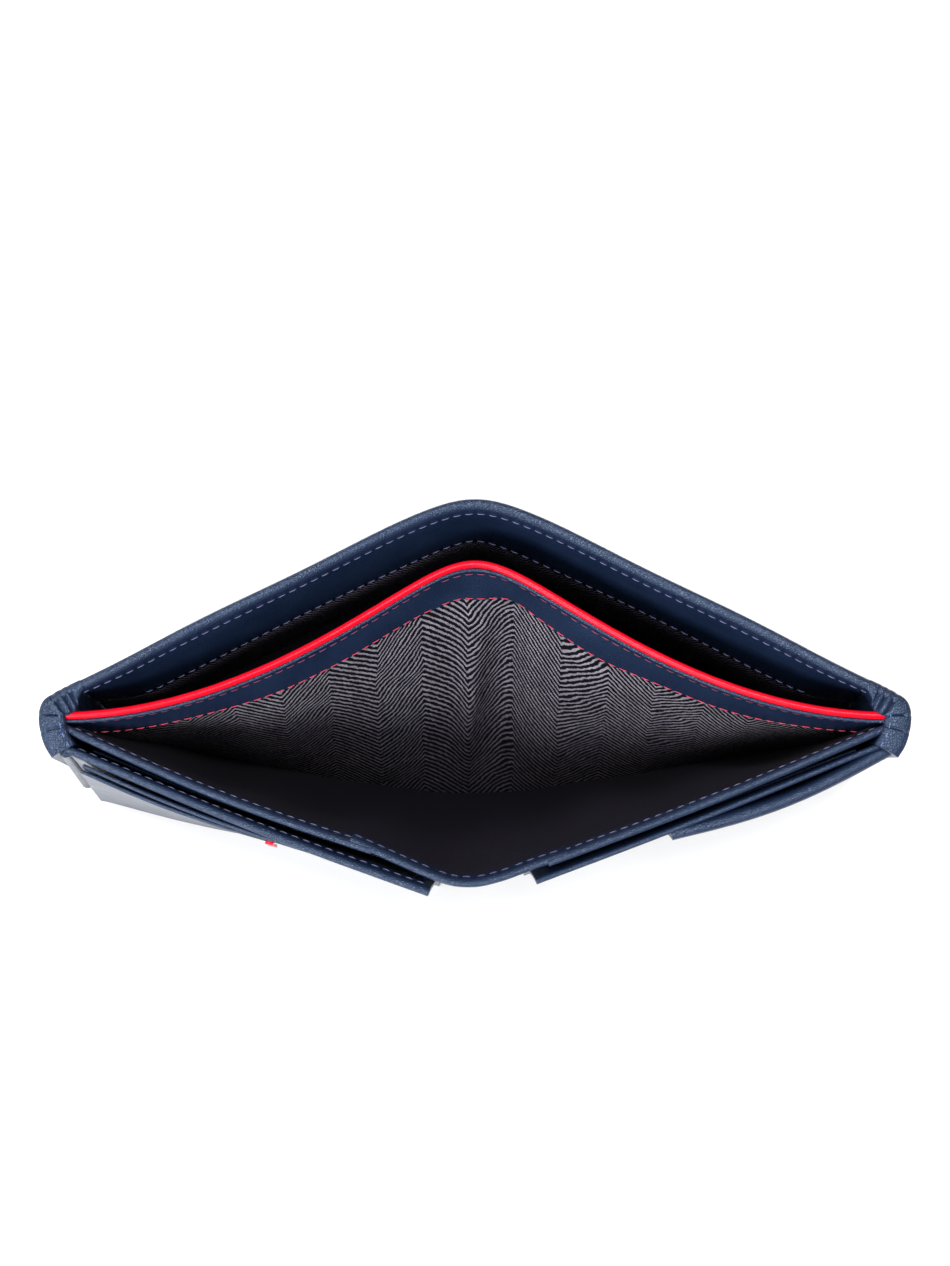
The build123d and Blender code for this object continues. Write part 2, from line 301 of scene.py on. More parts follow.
def stitches(name, line, outward, pitch=3.0, length=2.0):
    """A row of thread stitches along a 3-D line.

    Each is the same small capsule: a length along the line, the thread's radius across it, and
    its ends sunk into the leather.
    """
    line = even(line, max(8, int(arc_length(line)[-1] / 0.5)))
    along = arc_length(line)
    centres = np.arange(pitch / 2, along[-1] - pitch / 4, pitch)
    start = np.stack([np.interp(centres - length / 2, along, line[:, k]) for k in range(3)], 1)
    end = np.stack([np.interp(centres + length / 2, along, line[:, k]) for k in range(3)], 1)
    normal = np.asarray(outward, float)
    if normal.ndim == 2:
        source = np.linspace(0, along[-1], len(normal))
        normal = np.stack([np.interp(centres, source, normal[:, k]) for k in range(3)], 1)
    else:
        normal = np.repeat(normal[None], len(centres), axis=0)
    tangent = end - start
    tangent /= np.linalg.norm(tangent, axis=1, keepdims=True)
    side = np.cross(tangent, normal)
    side /= np.linalg.norm(side, axis=1, keepdims=True)
    normal = np.cross(side, tangent)
    stations = np.array([0.0, 0.08, 0.3, 0.7, 0.92, 1.0])
    sizes = np.array([0.25, 0.75, 1.0, 1.0, 0.75, 0.25]) * THREAD_RADIUS
    around = np.linspace(0, 2 * pi, 6, endpoint=False)
    spine = start[:, None] + (end - start)[:, None] * stations[None, :, None]
    lift = (np.sin(stations * pi) - THREAD_SINK) * THREAD_RADIUS
    spine = spine + normal[:, None] * lift[None, :, None]
    ring = (
        np.cos(around)[None, None, :, None] * side[:, None, None]
        + np.sin(around)[None, None, :, None] * normal[:, None, None]
    )
    points = spine[:, :, None] + ring * sizes[None, :, None, None]
    count, rings, sides = points.shape[:3]
    index = np.arange(rings * sides).reshape(rings, sides)
    quads = np.stack(
        [index[:-1], np.roll(index, -1, 1)[:-1], np.roll(index, -1, 1)[1:], index[1:]], axis=-1
    ).reshape(-1, 4)
    ends = np.stack([index[0][::-1], index[-1]])
    faces = []
    for base in range(0, count * rings * sides, rings * sides):
        faces += (quads + base).tolist() + (ends + base).tolist()
    mesh = bpy.data.meshes.new(name)
    mesh.from_pydata((points.reshape(-1, 3) * MM).tolist(), [], faces)
    return finish_mesh(name, mesh)


def hermite(points, count):
    """A smooth plan curve through a few points, each tangent half the step between neighbours."""
    points = np.array(points, float)
    slopes = np.gradient(points, axis=0)
    at = np.linspace(0, len(points) - 1, count)
    k = np.minimum(at.astype(int), len(points) - 2)
    t = (at - k)[:, None]
    a, b, m, n = points[k], points[k + 1], slopes[k], slopes[k + 1]
    return (
        (2 * t**3 - 3 * t**2 + 1) * a + (t**3 - 2 * t**2 + t) * m
        + (3 * t**2 - 2 * t**3) * b + (t**3 - t**2) * n
    )


# ---------------------------------------------------------------- materials

def group_socket(group, name, kind, way, value=None):
    """Add a socket to a node group's interface."""
    socket = group.interface.new_socket(name, in_out=way, socket_type=kind)
    if value is not None:
        socket.default_value = value
    return socket


def math_node(tree, operation, first, second=None, third=None):
    """A Math node on sockets or numbers; returns its output."""
    node = tree.nodes.new("ShaderNodeMath")
    node.operation = operation
    for slot, value in enumerate((first, second, third)):
        if value is None:
            continue
        if isinstance(value, bpy.types.NodeSocket):
            tree.links.new(value, node.inputs[slot])
        else:
            node.inputs[slot].default_value = value
    return node.outputs[0]


def mix_colour(tree, factor, first, second):
    """A colour mix on sockets or plain colours; returns its output."""
    node = tree.nodes.new("ShaderNodeMix")
    node.data_type = "RGBA"
    for slot, value in ((0, factor), (6, first), (7, second)):
        if isinstance(value, bpy.types.NodeSocket):
            tree.links.new(value, node.inputs[slot])
        elif slot == 0:
            node.inputs[slot].default_value = value
        else:
            node.inputs[slot].default_value = (*value, 1.0)
    return node.outputs[2]


def noise(tree, vector, scale, detail=3.0, roughness=0.5):
    """A noise texture's value."""
    node = tree.nodes.new("ShaderNodeTexNoise")
    node.inputs["Scale"].default_value = scale
    node.inputs["Detail"].default_value = detail
    node.inputs["Roughness"].default_value = roughness
    tree.links.new(vector, node.inputs["Vector"])
    return node.outputs["Fac"]


def grain_group():
    """Fine leather grain: small cells with creases, and soft blotches, as height and tone."""
    group = bpy.data.node_groups.new("leather_grain", "ShaderNodeTree")
    group_socket(group, "Vector", "NodeSocketVector", "INPUT")
    group_socket(group, "Cell", "NodeSocketFloat", "INPUT", 1500.0)
    group_socket(group, "Height", "NodeSocketFloat", "OUTPUT")
    group_socket(group, "Tone", "NodeSocketFloat", "OUTPUT")
    source = group.nodes.new("NodeGroupInput")
    result = group.nodes.new("NodeGroupOutput")
    cells = group.nodes.new("ShaderNodeTexVoronoi")
    cells.feature = "DISTANCE_TO_EDGE"
    group.links.new(source.outputs["Vector"], cells.inputs["Vector"])
    group.links.new(source.outputs["Cell"], cells.inputs["Scale"])
    creases = math_node(group, "MINIMUM", math_node(group, "MULTIPLY", cells.outputs[0], 5.0), 1.0)
    pores = noise(group, source.outputs["Vector"], 2600.0, 4.0)
    blotch = noise(group, source.outputs["Vector"], 90.0, 4.0)
    height = math_node(group, "ADD", math_node(group, "MULTIPLY", creases, 0.6), pores)
    group.links.new(height, result.inputs["Height"])
    group.links.new(blotch, result.inputs["Tone"])
    return group


GRAIN = grain_group()


def new_material(name):
    """A material with its tree, its shader and a texture coordinate node."""
    material = bpy.data.materials.new(name)
    material.use_nodes = True
    tree = material.node_tree
    shader = tree.nodes["Principled BSDF"]
    place = tree.nodes.new("ShaderNodeTexCoord")
    return material, tree, shader, place


def bump(tree, shader, height, strength, distance):
    """Feed a height to the shader's normal."""
    node = tree.nodes.new("ShaderNodeBump")
    node.inputs["Strength"].default_value = strength
    node.inputs["Distance"].default_value = distance
    tree.links.new(height, node.inputs["Height"])
    tree.links.new(node.outputs["Normal"], shader.inputs["Normal"])


def leather(name, dark, light, roughness, strength, gloss, cell=1500.0, tint=(0.5, 0.68, 1.0)):
    """Smooth dyed leather: fine grain and soft blotches."""
    material, tree, shader, place = new_material(name)
    grain = tree.nodes.new("ShaderNodeGroup")
    grain.node_tree = GRAIN
    grain.inputs["Cell"].default_value = cell
    tree.links.new(place.outputs["Object"], grain.inputs["Vector"])
    tone = math_node(tree, "MULTIPLY_ADD", grain.outputs["Tone"], 0.9, -0.1)
    tree.links.new(mix_colour(tree, tone, dark, light), shader.inputs["Base Color"])
    rough = math_node(tree, "MULTIPLY_ADD", grain.outputs["Tone"], 0.2, roughness - 0.1)
    tree.links.new(rough, shader.inputs["Roughness"])
    shader.inputs["Specular IOR Level"].default_value = gloss
    shader.inputs["Specular Tint"].default_value = (*tint, 1.0)
    bump(tree, shader, grain.outputs["Height"], strength, 0.0002)
    return material


def surface_uv(tree, place):
    """The piece's own surface coordinates, in millimetres, as two sockets."""
    split = tree.nodes.new("ShaderNodeSeparateXYZ")
    tree.links.new(place.outputs["UV"], split.inputs[0])
    return split.outputs[0], split.outputs[1]


def wave(tree, value, period):
    """A smooth wave from 0 to 1 with a period."""
    turned = math_node(tree, "MULTIPLY", value, 2 * pi / period)
    return math_node(tree, "MULTIPLY_ADD", math_node(tree, "SINE", turned), 0.5, 0.5)


def ribbed(name, dark, light, period, slant, strength):
    """Lining cloth with fine slanting ribs."""
    material, tree, shader, place = new_material(name)
    along, down = surface_uv(tree, place)
    rib = wave(tree, math_node(tree, "MULTIPLY_ADD", down, slant, along), period)
    yarn = wave(tree, math_node(tree, "MULTIPLY_ADD", along, -slant, down), period * 0.5)
    fuzz = noise(tree, place.outputs["Object"], 2200.0, 3.0)
    height = math_node(tree, "MULTIPLY_ADD", yarn, 0.25, rib)
    tone = math_node(tree, "MULTIPLY", math_node(tree, "POWER", rib, 1.6), fuzz)
    tree.links.new(mix_colour(tree, tone, dark, light), shader.inputs["Base Color"])
    shader.inputs["Roughness"].default_value = 0.85
    shader.inputs["Specular IOR Level"].default_value = 0.15
    bump(tree, shader, height, strength, 0.0002)
    return material


def herringbone(name, dark, light, column, period, slope):
    """Woollen herringbone: slanting stripes that change direction at each column of the weave.

    The stripe coordinate is the distance down plus slope times a triangle wave across.
    """
    material, tree, shader, place = new_material(name)
    along, down = surface_uv(tree, place)
    drift = noise(tree, place.outputs["Object"], 60.0, 2.0)
    jitter = noise(tree, place.outputs["Object"], 700.0, 2.0)
    depth, across = down, along
    along = math_node(tree, "MULTIPLY_ADD", drift, 3.4, along)
    down = math_node(tree, "MULTIPLY_ADD", drift, 4.0, down)
    down = math_node(tree, "MULTIPLY_ADD", jitter, 1.3, down)
    zigzag = math_node(tree, "PINGPONG", along, column)
    stripe = math_node(tree, "MULTIPLY_ADD", zigzag, slope, down)
    fibre = noise(tree, place.outputs["Object"], 3800.0, 5.0, 0.7)
    stripe = math_node(tree, "MULTIPLY_ADD", fibre, 0.5, stripe)
    pale = wave(tree, stripe, period)
    yarn = wave(tree, math_node(tree, "MULTIPLY_ADD", zigzag, -slope * 1.4, down), period * 0.45)
    sharp = math_node(tree, "MULTIPLY_ADD", pale, 3.0, -1.5)
    sharp = math_node(tree, "MINIMUM", math_node(tree, "MAXIMUM", sharp, 0.0), 1.0)
    twist = math_node(tree, "MULTIPLY_ADD", yarn, 0.5, 0.5)
    patch = noise(tree, place.outputs["Object"], 220.0, 3.0)
    fleck = math_node(tree, "MULTIPLY", math_node(tree, "MULTIPLY_ADD", fibre, 2.2, -0.35),
                      math_node(tree, "MULTIPLY_ADD", patch, 1.2, 0.35))
    # Painted shade: the cloth is made darker towards the crevice at its foot and towards its narrow
    # ends, where shade falls
    painted_shade = math_node(tree, "MULTIPLY_ADD", depth, -0.011, 1.2)
    ends = math_node(tree, "MULTIPLY_ADD", math_node(tree, "ABSOLUTE", across), -0.0165, 1.95)
    ends = math_node(tree, "MINIMUM", math_node(tree, "MAXIMUM", ends, 0.25), 1.0)
    painted_shade = math_node(tree, "MULTIPLY", painted_shade, ends)
    tone = math_node(tree, "MULTIPLY", math_node(tree, "MULTIPLY", sharp, twist), fleck)
    tone = math_node(tree, "MULTIPLY", tone, painted_shade)
    tree.links.new(mix_colour(tree, tone, dark, light), shader.inputs["Base Color"])
    shader.inputs["Roughness"].default_value = 0.95
    shader.inputs["Specular IOR Level"].default_value = 0.08
    bump(tree, shader, math_node(tree, "MULTIPLY_ADD", fibre, 0.5, tone), 0.6, 0.0003)
    return material


def net(name, thread, gap_colour, pitch):
    """Black net: two crossing sets of threads with dark gaps between them."""
    material, tree, shader, place = new_material(name)
    along, down = surface_uv(tree, place)
    first = wave(tree, math_node(tree, "ADD", along, down), pitch)
    second = wave(tree, math_node(tree, "SUBTRACT", along, down), pitch)
    web = math_node(tree, "POWER", math_node(tree, "MAXIMUM", first, second), 3.0)
    tree.links.new(mix_colour(tree, web, gap_colour, thread), shader.inputs["Base Color"])
    shader.inputs["Roughness"].default_value = 0.7
    shader.inputs["Specular IOR Level"].default_value = 0.15
    bump(tree, shader, web, 0.8, 0.0003)
    return material


def thread(name, colour):
    """Waxed sewing thread with a twist."""
    material, tree, shader, place = new_material(name)
    twist = noise(tree, place.outputs["Object"], 3000.0, 2.0)
    shade = tuple(c * 0.55 for c in colour)
    tree.links.new(mix_colour(tree, twist, shade, colour), shader.inputs["Base Color"])
    shader.inputs["Roughness"].default_value = 0.45
    bump(tree, shader, twist, 0.4, 0.0001)
    return material


NAVY = leather("navy_leather", (0.005, 0.011, 0.031), (0.014, 0.028, 0.070), 0.34, strength=0.5,
               gloss=0.6, tint=(0.62, 0.76, 1.0))
NAVY_SOFT = leather("navy_soft_leather", (0.004, 0.010, 0.029), (0.013, 0.026, 0.065), 0.5,
                    strength=0.5, gloss=0.3, cell=1100.0)
RED = leather("red_leather", (0.74, 0.0008, 0.010), (0.86, 0.0015, 0.018), 0.30, strength=0.12,
              gloss=0.5, cell=1800.0, tint=(1.0, 0.35, 0.45))
RIBBED = ribbed("ribbed_lining", (0.004, 0.003, 0.006), (0.60, 0.52, 0.70), 1.0, 0.3, 0.7)
TWILL = ribbed("twill_lining", (0.003, 0.0025, 0.005), (0.030, 0.026, 0.044), 0.7, 0.7, 0.4)
HERRINGBONE = herringbone(
    "herringbone_wool", (0.004, 0.003, 0.006), (0.44, 0.42, 0.50), column=11.7, period=2.2, slope=1.3
)
NET = net("black_net", (0.045, 0.045, 0.05), (0.002, 0.002, 0.003), 1.1)
LILAC_THREAD = thread("lilac_thread", (0.12, 0.13, 0.28))
PINK_THREAD = thread("pink_thread", (0.66, 0.05, 0.11))
PLUM_THREAD = thread("plum_thread", (0.26, 0.05, 0.13))
BLUE_THREAD = thread("blue_thread", (0.10, 0.22, 0.62))


def dress(piece, material, slot, *nodes):
    """Give a piece its material and hide the frame nodes that it stands for; slot is not used."""
    piece.data.materials.append(material)
    if nodes:
        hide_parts(*nodes)
    return piece


# ---------------------------------------------------------------- paths

SIDES = {"left": -1, "right": 1}
# The sign that turns a path's normal inward, for a path that runs from the middle outward
INWARD = {"left": 1, "right": -1}


def cover_back(x):
    """The cover's outer rim in plan, at a distance from the middle: a hyperbola."""
    return BACK - COVER_SLOPE * (np.sqrt(x**2 + COVER_ROUNDING**2) - COVER_ROUNDING)


def cover_path(side, corner=False, count=201):
    """The cover's outer rim from the middle to a side, half of a rounded V.

    With corner, a smooth curve through a few points carries it round the side edge.
    """
    x = np.linspace(0.0, COVER_END, count)
    line = np.stack([x, cover_back(x)], axis=1)
    if corner:
        turn = hermite([line[-8], line[-1], *CORNER], 161)
        line = np.concatenate([line[:-8], turn])
    return even(line, count) * (side, 1)


def cover_lean(along, height):
    """How far the cover leans in below its flared rim; it fades out at the side edge."""
    depth = np.maximum(HEIGHT - height, 0)
    fade = ease(np.clip((COVER_FADE_END - along) / COVER_FADE_LENGTH, 0, 1))
    belly = 1 - COVER_BELLY * (depth / HEIGHT) ** 1.5
    slope = np.sin(pi / 2 * np.clip(depth / COVER_LEAN_DEPTH, 0, 1))
    return COVER_LEAN * slope * belly * fade


def hide_ripple(along, height):
    """Slow waves in the hide, under half a millimetre."""
    return 0.22 * np.sin(along * 0.11 + height * 0.03) * np.sin(height * 0.07 + 1.0)


# ---------------------------------------------------------------- cover

def make_cover():
    """Cover leather, facing band, ribbed lining and two stitch rows, in a left and a right half."""
    for label, side in SIDES.items():
        path = cover_path(side)
        turn = INWARD[label]
        hide = carried(
            f"cover_leather_{label}", cover_path(side, corner=True, count=281), turn,
            wall_profile(COVER_WALL, RIM, 5.0, HEIGHT), cover_lean, hide_ripple,
            tuck=TUCK[label],
        )
        band = carried(
            f"facing_band_{label}", path, turn,
            strip_profile(COVER_WALL + 0.05, 2 * RIM - 0.35, HEIGHT - BAND_DEPTH, HEIGHT - 4.6),
            cover_lean, hide_ripple,
        )
        cloth_lining = carried(
            f"cover_lining_{label}", path, turn,
            strip_profile(COVER_WALL + 0.02, COVER_WALL + 0.45, 0.6, HEIGHT - BAND_DEPTH + 1.5),
            cover_lean, hide_ripple,
        )
        dress(hide, NAVY, "navy_leather", f"{label}_cover_leather", "spine_leather")
        dress(band, NAVY_SOFT, "navy_leather", f"{label}_facing_band", "spine_facing_band")
        dress(cloth_lining, RIBBED, "black_lining", f"{label}_cover_lining", "spine_lining")
        pieces = [hide, band, cloth_lining]
        rows = ((2 * RIM, 3.4), (2 * RIM - 0.3, BAND_DEPTH - 1.6))
        for number, (offset, depth) in enumerate(rows, start=1):
            level = HEIGHT - depth
            normals = plan_normals(path, turn)
            along = arc_length(path)
            shift = offset + cover_lean(along, level) + hide_ripple(along, level)
            line = at_level(path + normals * shift[:, None], level)
            facing = at_level(normals, 0.3)
            last = int(np.argmax(np.abs(path[:, 0]) > (100.0 if number == 1 else 88.0)))
            row = stitches(f"cover_stitches_{label}_{number}", line[:last], facing[:last])
            pieces.append(dress(row, LILAC_THREAD, "navy_leather"))
        for piece in pieces:
            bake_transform(piece)


# ---------------------------------------------------------------- divider

def divider_line(x, apex, end, rounding, power):
    """A bell in plan: apex in the middle, falling to the end as (1 - t) to a power.

    t is the distance from the middle, rounded near it so that the apex is smooth.
    """
    reach = np.sqrt(end[0] ** 2 + rounding**2) - rounding
    t = np.clip((np.sqrt(x**2 + rounding**2) - rounding) / reach, 0, 1)
    return end[1] + (apex - end[1]) * (1 - t) ** power


def crevice_line(x):
    """The plan of the crevice at the divider's foot, for distances across its top edge."""
    across = x * CREVICE_END[0] / DIVIDER_END[0]
    return across, divider_line(across, CREVICE_APEX, CREVICE_END, CREVICE_ROUNDING, 1.0)


def surface_grid(surface, x, rows):
    """A surface's points at each distance across and each share down."""
    return surface(*np.meshgrid(x, rows))


def divider_surface(x, down):
    """The divider at a distance across (x at its top) and a share of its drop, 0 to 1.

    Straight lines join the top edge to the crevice. A flare at both sides, a sag, a fold near
    the middle and slow ripples are added along Y.
    """
    top_y = divider_line(x, DIVIDER_APEX, DIVIDER_END, DIVIDER_ROUNDING, DIVIDER_POWER)
    bottom_x, bottom_y = crevice_line(x)
    y = top_y + (bottom_y - top_y) * down
    middle = np.exp(-((x / 60.0) ** 2))
    swell = np.sin(pi * down)
    fold = 4.6 * np.exp(-(((x - 2.0 + 6 * down) / 3.4) ** 2)) * swell**1.5
    dent = -3.4 * np.exp(-(((x - 10.0 + 4 * down) / 4.2) ** 2)) * swell**1.2
    ripple = 0.9 * np.sin(x * 0.16 + 2.2 * down) * swell * (0.4 + middle)
    off_centre = ease(np.clip((np.abs(x) - 10.0) / 25.0, 0, 1))
    flare = DIVIDER_FLARE * off_centre * (1 - np.exp(-8.0 * down)) * (1 - down)
    y = y - 2.0 * swell * middle - fold - dent + ripple - flare
    z = DIVIDER_TOP + (CREVICE_LEVEL - DIVIDER_TOP) * down
    return np.stack([x + (bottom_x - x) * down, y, z], axis=-1)


def rear_floor(x, back):
    """The lining that closes the rear compartment: from the crevice back to the cover's foot."""
    bottom_x, bottom_y = crevice_line(x)
    near = bottom_y - 0.4
    far_y = cover_back(x) - REAR_FLOOR_INSET
    across = bottom_x + (x - bottom_x) * back
    level = 2.2 - 1.2 * np.sin(pi / 2 * back)
    return np.stack([across, near + (far_y - near) * back, level], axis=-1)


def divider_motion(piece, label, zone):
    """A side part is attached to its cover leaf, and a middle part to the spine."""
    if zone == "side":
        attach(piece, f"{label}_cover")
        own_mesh(piece)
    else:
        spine_motion(piece)


def spine_motion(piece):
    """A middle part rides the spine."""
    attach(piece, "spine")
    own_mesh(piece)


def make_divider():
    """Herringbone cloth, leather band, piping, two stitch rows and the foot, in four parts."""
    middle = np.array(0.0)
    drop = float(np.linalg.norm(divider_surface(middle, 1.0) - divider_surface(middle, 0.0)))
    band_share = DIVIDER_BAND / drop
    zones = {"middle": (0.0, WING_START), "side": (WING_START, DIVIDER_END[0])}
    for label, side in SIDES.items():
        for zone, (near, far) in zones.items():
            suffix = f"{label}_{zone}"
            nodes = {"middle": "centre", "side": label}[zone]
            x = side * np.linspace(near, far, 25 if zone == "middle" else 121)
            rows = np.linspace(band_share * 0.8, 1.0, 81)
            front = surface_grid(divider_surface, x, rows)
            wool = cloth(f"divider_cloth_{suffix}", front, 0.6)
            dress(wool, HERRINGBONE, "herringbone_cloth", f"divider_fabric_{nodes}")
            pattern_across(wool)
            rows = np.linspace(0.0, band_share, 13)
            front = surface_grid(divider_surface, x, rows)
            front = front + np.array([0.0, -0.55, 0.45])
            band = cloth(f"divider_band_{suffix}", front, 1.5)
            dress(band, NAVY_SOFT, "navy_leather", f"divider_band_{nodes}")
            top = divider_surface(x, 0.0 * x) + np.array([0.0, 0.25, 1.0])
            piping = tube(f"red_piping_{suffix}", top, PIPING_RADIUS, 14, 0.02)
            dress(piping, RED, "red_leather", f"red_piping_{nodes}")
            cord_line = divider_surface(x, 0.0 * x) + np.array([0.0, -1.15, 0.55])
            roll = tube(f"divider_roll_{suffix}", cord_line, 0.55, 10)
            dress(roll, NAVY, "navy_leather")
            rows = np.linspace(0.0, 1.0, 21)
            lower = surface_grid(rear_floor, x, rows)
            foot = cloth(f"rear_floor_{suffix}", lower, 0.3)
            dress(foot, TWILL, "black_lining")
            declare_sheet(foot, arc_length(lower[-1])[-1], arc_length(lower[:, 0])[-1])
            pieces = [wool, band, piping, roll, foot]
            for number, share in enumerate((0.17, 0.93), start=1):
                line = divider_surface(x, band_share * share + 0.0 * x) + np.array([0.0, -0.8, 0.5])
                row = stitches(f"divider_stitches_{suffix}_{number}", line, (0.0, -0.75, 0.66))
                colour = PLUM_THREAD if number == 1 else PINK_THREAD
                pieces.append(dress(row, colour, "red_leather"))
            declare_sheet(wool, arc_length(top)[-1], drop * (1 - band_share * 0.8))
            for piece in pieces:
                divider_motion(piece, label, zone)


def pattern_across(piece):
    """Run the weave on from part to part: its coordinate across is the distance from the middle."""
    mesh = piece.data
    corners = np.zeros(len(mesh.loops), np.int32)
    mesh.loops.foreach_get("vertex_index", corners)
    points = np.zeros(len(mesh.vertices) * 3)
    mesh.vertices.foreach_get("co", points)
    uv = np.zeros(len(mesh.loops) * 2, np.float32)
    mesh.uv_layers[0].data.foreach_get("uv", uv)
    uv[0::2] = points[0::3][corners] / MM
    mesh.uv_layers[0].data.foreach_set("uv", uv)


def mesh_area(piece):
    """Half a closed sheet's surface, in square metres: one of its two faces."""
    return sum(face.area for face in piece.data.polygons) / 2


def declare_sheet(piece, width, length):
    """Work out a sewn-in cloth part's cut size, also from its area because its edges slant; the result
    is not kept.
    """
    area = mesh_area(piece)
    width = float(width) * MM
    length = max(float(length) * MM, area / width)


# ---------------------------------------------------------------- front wall

def straight(side, place, length, start=0.0, bow=0.0):
    """A plan line from a hinge towards the middle, bowed forward as a half sine."""
    along = np.linspace(start, length, ROW_COLUMNS)
    bulge = bow * np.sin(pi * along / length)
    x = place[0] - along * cos(FRONT_ANGLE) + bulge * sin(FRONT_ANGLE)
    y = place[1] - along * sin(FRONT_ANGLE) - bulge * cos(FRONT_ANGLE)
    return np.stack([side * x, y], axis=1)


def front_normal(side):
    """The plan direction that a front panel faces."""
    return np.array([side * sin(FRONT_ANGLE), -cos(FRONT_ANGLE)])


def front_lean(length):
    """How far a front layer leans back below its rim, growing from its hinge to its free end."""
    def lean(along, height):
        """The lean at a distance from the hinge and a height."""
        depth = HEIGHT - height
        grow = np.clip(along / length, 0, 1) ** 0.7
        return FRONT_LEAN * (1 - np.exp(-depth / LEAN_DEPTH)) * grow
    return lean


def front_squash(piece):
    """Give a front piece a mesh of its own."""
    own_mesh(piece)


def front_motion(piece, label):
    """A front piece rides its panel's body."""
    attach(piece, f"front_{label}")
    front_squash(piece)


def rim_stitches(name, path, turn, offset, level, lean):
    """A stitch row on a wall's inner face at a level."""
    normals = plan_normals(path, turn)
    shift = offset + lean(arc_length(path), level)
    line = at_level(path + normals * shift[:, None], level)
    facing = at_level(normals, 0.5)
    return stitches(name, line[3:-2], facing[3:-2])


def make_front_walls():
    """The front wall's two panels with rolled rims and facing, and what is sewn on them."""
    for label, side in SIDES.items():
        length, bow = FRONT_LENGTH[label], FRONT_BOW[label]
        forward = front_normal(side)
        path = straight(side, SIDE_HINGE, length, -2.0, bow) + forward * 1.5
        turn = INWARD[label]
        lean = front_lean(length)
        section = wall_profile(1.3, FRONT_RIM, FACING, FRONT_TOP, 0.2)
        wall = carried(f"front_wall_{label}", path, turn, section, lean)
        dress(wall, NAVY, "navy_leather", f"front_{label}_panel", f"front_{label}_rolled_edge",
              f"front_{label}_lining")
        row = rim_stitches(f"front_stitches_{label}", path, turn, 2 * FRONT_RIM, FRONT_TOP - 3.4, lean)
        dress(row, LILAC_THREAD, "navy_leather")
        front_motion(wall, label)
        front_motion(row, label)
        for number, slot_top in enumerate((82.0, 68.0), start=1):
            slot_path = straight(side, SIDE_HINGE, 75.0, 6.0, bow) + forward * (1.9 + 0.75 * number)
            section = wall_profile(0.45, 0.34, 5.0, slot_top, 3.0)
            slot = carried(f"card_slot_{label}_{number}", slot_path, turn, section, lean)
            dress(slot, NAVY_SOFT, "navy_leather", f"{label}_card_slot_{number}")
            front_motion(slot, label)


def bag_surface(x, down):
    """The front bag's lining: straight lines from behind the front wall's rim to the crevice."""
    top = front_inner_line(x)
    bottom_x, bottom_y = crevice_line(x)
    bottom_y = bottom_y + 2.2
    swell = np.sin(pi * down)
    ripple = 0.8 * np.sin(x * 0.21 + 1.5 * down) * swell + 1.6 * swell * np.sin(x * 0.045 + 0.6)
    y = top + (bottom_y - top) * down**0.85 + ripple
    z = HEIGHT - BAG_DROP + (BAG_LEVEL - HEIGHT + BAG_DROP) * down
    return np.stack([x + (bottom_x - x) * down, y, z], axis=-1)


def strip_points():
    """Plan points of the soft middle of the front wall, from the left panel to the right one."""
    left = straight(-1, SIDE_HINGE, FRONT_LENGTH["left"])[-1]
    right = straight(1, SIDE_HINGE, FRONT_LENGTH["right"])[-1]
    low = STRIP_LOW
    return [
        left + (-6.0, 2.4), left + (-0.5, 0.0), (-9.5, low + 1.4), (-1.0, low), (6.5, low + 1.4),
        right + (-3.0, -1.0), right + (5.5, 1.8),
    ]


def front_inner_line(x):
    """The Y of the front wall's inner face just below its rim, at each x."""
    left, right = [
        straight(side, SIDE_HINGE, FRONT_LENGTH[label], bow=FRONT_BOW[label])
        for label, side in SIDES.items()
    ]
    right = right[::-1]
    middle = hermite(strip_points(), 61)[12:-12]
    line = np.concatenate([left[:-6], middle, right[6:]])
    return np.interp(x, line[:, 0], line[:, 1]) + 1.6


def make_front_bag():
    """The black twill lining: a part for each panel and two narrow halves in the middle."""
    parts = (
        ("left_side", "left", -98.5, -WING_START), ("left_middle", "left", -WING_START, 0.0),
        ("right_middle", "right", 0.0, WING_START), ("right_side", "right", WING_START, 98.0),
    )
    rows = np.linspace(0.0, 1.0, 61)
    for suffix, label, start, end in parts:
        x = np.linspace(start, end, 25 if suffix.endswith("middle") else 121)
        front = surface_grid(bag_surface, x, rows)
        lining = cloth(f"front_bag_{suffix}", front, 0.4, facing=1)
        at_side = suffix.endswith("side")
        node = f"front_bag_lining_{label if at_side else 'centre'}"
        dress(lining, TWILL, "black_lining", node)
        declare_sheet(lining, arc_length(front[0])[-1], arc_length(front[:, 0])[-1])
        if at_side:
            front_motion(lining, label)
        else:
            spine_motion(lining)


def make_centre_strip():
    """The soft middle of the front wall, a dipping rim with its facing and stitches."""
    path = even(hermite(strip_points(), 241), 121)
    level = STRIP_TOP - 3.4

    def lean(along, height):
        """The full lean of the wall's free ends."""
        return FRONT_LEAN * (1 - np.exp(-(HEIGHT - height) / LEAN_DEPTH)) + 0 * along

    cuts = [int(np.argmax(path[:, 0] >= x)) for x in (-WING_START, 0.0, WING_START)]
    cuts = [0, *cuts, len(path) - 1]
    names = ("left_wing", "left_middle", "right_middle", "right_wing")
    section = wall_profile(1.2, FRONT_RIM, FACING, STRIP_TOP, 0.4)
    for name, first, last in zip(names, cuts, cuts[1:]):
        part = path[first : last + 1] - (0.0, 1.1)
        label = name.split("_")[0]
        wall = carried(f"centre_strip_{name}", part, 1, section, lean)
        dress(wall, NAVY, "navy_leather", "front_centre_strip")
        shift = plan_normals(part, 1) * (2 * FRONT_RIM + float(lean(0.0, level)))
        line = at_level(part + shift, level)
        row = stitches(f"centre_strip_stitches_{name}", line, at_level(shift, 3.0))
        dress(row, LILAC_THREAD, "navy_leather")
        for piece in (wall, row):
            if name.endswith("wing"):
                front_motion(piece, label)
            else:
                spine_motion(piece)


# ---------------------------------------------------------------- right pocket and leaf

